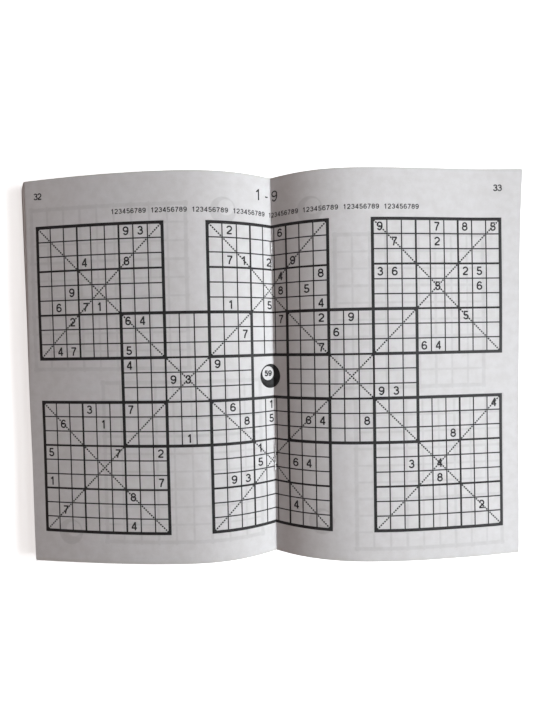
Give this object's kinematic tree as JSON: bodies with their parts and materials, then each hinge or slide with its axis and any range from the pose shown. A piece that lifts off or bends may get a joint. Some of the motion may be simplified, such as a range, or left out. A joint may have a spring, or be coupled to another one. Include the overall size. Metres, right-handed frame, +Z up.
{
  "type": "open puzzle booklet",
  "caption": "Saddle-stitched paper puzzle booklet lying open at its centre spread, arched leaves hinged at the fold and wire staples in the spine.",
  "frame": {"origin": "on the table, under the middle of the fold", "axes": "+X across the open spread to the right-hand page, +Y along the fold to the head of the page, +Z up from the table"},
  "size_m": [0.2788, 0.21, 0.0192],
  "materials": {
    "paper": "uncoated, matt",
    "cover_stock": "coated, satin",
    "steel_wire": "drawn, bright"
  },
  "bodies": {
    "back_cover": {"back_cover": "cover_stock", "cover_spine": "cover_stock", "head_staple": "steel_wire", "tail_staple": "steel_wire"},
    "front_cover": {"front_cover": "cover_stock"},
    "leaf_31_32": {"leaf_31_32": "paper"},
    "leaf_29_30": {"leaf_29_30": "paper"},
    "leaf_27_28": {"leaf_27_28": "paper"},
    "leaf_25_26": {"leaf_25_26": "paper"},
    "leaf_23_24": {"leaf_23_24": "paper"},
    "leaf_21_22": {"leaf_21_22": "paper"},
    "leaf_19_20": {"leaf_19_20": "paper"},
    "leaf_17_18": {"leaf_17_18": "paper"},
    "leaf_15_16": {"leaf_15_16": "paper"},
    "leaf_13_14": {"leaf_13_14": "paper"},
    "leaf_11_12": {"leaf_11_12": "paper"},
    "leaf_09_10": {"leaf_09_10": "paper"},
    "leaf_07_08": {"leaf_07_08": "paper"},
    "leaf_05_06": {"leaf_05_06": "paper"},
    "leaf_03_04": {"leaf_03_04": "paper"},
    "leaf_01_02": {"leaf_01_02": "paper"},
    "leaf_33_34": {"leaf_33_34": "paper"},
    "leaf_35_36": {"leaf_35_36": "paper"},
    "leaf_37_38": {"leaf_37_38": "paper"},
    "leaf_39_40": {"leaf_39_40": "paper"},
    "leaf_41_42": {"leaf_41_42": "paper"},
    "leaf_43_44": {"leaf_43_44": "paper"},
    "leaf_45_46": {"leaf_45_46": "paper"},
    "leaf_47_48": {"leaf_47_48": "paper"},
    "leaf_49_50": {"leaf_49_50": "paper"},
    "leaf_51_52": {"leaf_51_52": "paper"},
    "leaf_53_54": {"leaf_53_54": "paper"},
    "leaf_55_56": {"leaf_55_56": "paper"},
    "leaf_57_58": {"leaf_57_58": "paper"},
    "leaf_59_60": {"leaf_59_60": "paper"},
    "leaf_61_62": {"leaf_61_62": "paper"},
    "leaf_63_64": {"leaf_63_64": "paper"}
  },
  "joints": [
    {"name": "front_cover_swing", "type": "hinge", "parent": "back_cover", "child": "front_cover", "pos_m": [0, 0, 0.00367], "axis": [0, 1, 0], "range_deg": [0, 30]},
    {"name": "leaf_31_32_turn", "type": "hinge", "parent": "leaf_29_30", "child": "leaf_31_32", "pos_m": [0, 0, 0.00367], "axis": [0, 1, 0], "range_deg": [0, 40]},
    {"name": "leaf_33_34_turn", "type": "hinge", "parent": "leaf_35_36", "child": "leaf_33_34", "pos_m": [0, 0, 0.00367], "axis": [0, 1, 0], "range_deg": [-70, 0]},
    {"name": "leaf_29_30_turn", "type": "hinge", "parent": "leaf_27_28", "child": "leaf_29_30", "pos_m": [0, 0, 0.00367], "axis": [0, 1, 0], "range_deg": [0, 2]},
    {"name": "leaf_35_36_turn", "type": "hinge", "parent": "leaf_37_38", "child": "leaf_35_36", "pos_m": [0, 0, 0.00367], "axis": [0, 1, 0], "range_deg": [-2, 0]},
    {"name": "leaf_27_28_turn", "type": "hinge", "parent": "leaf_25_26", "child": "leaf_27_28", "pos_m": [0, 0, 0.00367], "axis": [0, 1, 0], "range_deg": [0, 2]},
    {"name": "leaf_37_38_turn", "type": "hinge", "parent": "leaf_39_40", "child": "leaf_37_38", "pos_m": [0, 0, 0.00367], "axis": [0, 1, 0], "range_deg": [-2, 0]},
    {"name": "leaf_25_26_turn", "type": "hinge", "parent": "leaf_23_24", "child": "leaf_25_26", "pos_m": [0, 0, 0.00367], "axis": [0, 1, 0], "range_deg": [0, 2]},
    {"name": "leaf_39_40_turn", "type": "hinge", "parent": "leaf_41_42", "child": "leaf_39_40", "pos_m": [0, 0, 0.00367], "axis": [0, 1, 0], "range_deg": [-2, 0]},
    {"name": "leaf_23_24_turn", "type": "hinge", "parent": "leaf_21_22", "child": "leaf_23_24", "pos_m": [0, 0, 0.00367], "axis": [0, 1, 0], "range_deg": [0, 2]},
    {"name": "leaf_41_42_turn", "type": "hinge", "parent": "leaf_43_44", "child": "leaf_41_42", "pos_m": [0, 0, 0.00367], "axis": [0, 1, 0], "range_deg": [-2, 0]},
    {"name": "leaf_21_22_turn", "type": "hinge", "parent": "leaf_19_20", "child": "leaf_21_22", "pos_m": [0, 0, 0.00367], "axis": [0, 1, 0], "range_deg": [0, 2]},
    {"name": "leaf_43_44_turn", "type": "hinge", "parent": "leaf_45_46", "child": "leaf_43_44", "pos_m": [0, 0, 0.00367], "axis": [0, 1, 0], "range_deg": [-2, 0]},
    {"name": "leaf_19_20_turn", "type": "hinge", "parent": "leaf_17_18", "child": "leaf_19_20", "pos_m": [0, 0, 0.00367], "axis": [0, 1, 0], "range_deg": [0, 2]},
    {"name": "leaf_45_46_turn", "type": "hinge", "parent": "leaf_47_48", "child": "leaf_45_46", "pos_m": [0, 0, 0.00367], "axis": [0, 1, 0], "range_deg": [-2, 0]},
    {"name": "leaf_17_18_turn", "type": "hinge", "parent": "leaf_15_16", "child": "leaf_17_18", "pos_m": [0, 0, 0.00367], "axis": [0, 1, 0], "range_deg": [0, 2]},
    {"name": "leaf_47_48_turn", "type": "hinge", "parent": "leaf_49_50", "child": "leaf_47_48", "pos_m": [0, 0, 0.00367], "axis": [0, 1, 0], "range_deg": [-2, 0]},
    {"name": "leaf_15_16_turn", "type": "hinge", "parent": "leaf_13_14", "child": "leaf_15_16", "pos_m": [0, 0, 0.00367], "axis": [0, 1, 0], "range_deg": [0, 2]},
    {"name": "leaf_49_50_turn", "type": "hinge", "parent": "leaf_51_52", "child": "leaf_49_50", "pos_m": [0, 0, 0.00367], "axis": [0, 1, 0], "range_deg": [-2, 0]},
    {"name": "leaf_13_14_turn", "type": "hinge", "parent": "leaf_11_12", "child": "leaf_13_14", "pos_m": [0, 0, 0.00367], "axis": [0, 1, 0], "range_deg": [0, 2]},
    {"name": "leaf_51_52_turn", "type": "hinge", "parent": "leaf_53_54", "child": "leaf_51_52", "pos_m": [0, 0, 0.00367], "axis": [0, 1, 0], "range_deg": [-2, 0]},
    {"name": "leaf_11_12_turn", "type": "hinge", "parent": "leaf_09_10", "child": "leaf_11_12", "pos_m": [0, 0, 0.00367], "axis": [0, 1, 0], "range_deg": [0, 2]},
    {"name": "leaf_53_54_turn", "type": "hinge", "parent": "leaf_55_56", "child": "leaf_53_54", "pos_m": [0, 0, 0.00367], "axis": [0, 1, 0], "range_deg": [-2, 0]},
    {"name": "leaf_09_10_turn", "type": "hinge", "parent": "leaf_07_08", "child": "leaf_09_10", "pos_m": [0, 0, 0.00367], "axis": [0, 1, 0], "range_deg": [0, 2]},
    {"name": "leaf_55_56_turn", "type": "hinge", "parent": "leaf_57_58", "child": "leaf_55_56", "pos_m": [0, 0, 0.00367], "axis": [0, 1, 0], "range_deg": [-2, 0]},
    {"name": "leaf_07_08_turn", "type": "hinge", "parent": "leaf_05_06", "child": "leaf_07_08", "pos_m": [0, 0, 0.00367], "axis": [0, 1, 0], "range_deg": [0, 2]},
    {"name": "leaf_57_58_turn", "type": "hinge", "parent": "leaf_59_60", "child": "leaf_57_58", "pos_m": [0, 0, 0.00367], "axis": [0, 1, 0], "range_deg": [-2, 0]},
    {"name": "leaf_05_06_turn", "type": "hinge", "parent": "leaf_03_04", "child": "leaf_05_06", "pos_m": [0, 0, 0.00367], "axis": [0, 1, 0], "range_deg": [0, 2]},
    {"name": "leaf_59_60_turn", "type": "hinge", "parent": "leaf_61_62", "child": "leaf_59_60", "pos_m": [0, 0, 0.00367], "axis": [0, 1, 0], "range_deg": [-2, 0]},
    {"name": "leaf_03_04_turn", "type": "hinge", "parent": "leaf_01_02", "child": "leaf_03_04", "pos_m": [0, 0, 0.00367], "axis": [0, 1, 0], "range_deg": [0, 2]},
    {"name": "leaf_61_62_turn", "type": "hinge", "parent": "leaf_63_64", "child": "leaf_61_62", "pos_m": [0, 0, 0.00367], "axis": [0, 1, 0], "range_deg": [-2, 0]},
    {"name": "leaf_01_02_turn", "type": "hinge", "parent": "front_cover", "child": "leaf_01_02", "pos_m": [0, 0, 0.00367], "axis": [0, 1, 0], "range_deg": [0, 2]},
    {"name": "leaf_63_64_turn", "type": "hinge", "parent": "back_cover", "child": "leaf_63_64", "pos_m": [0, 0, 0.00367], "axis": [0, 1, 0], "range_deg": [-2, 0]}
  ]
}
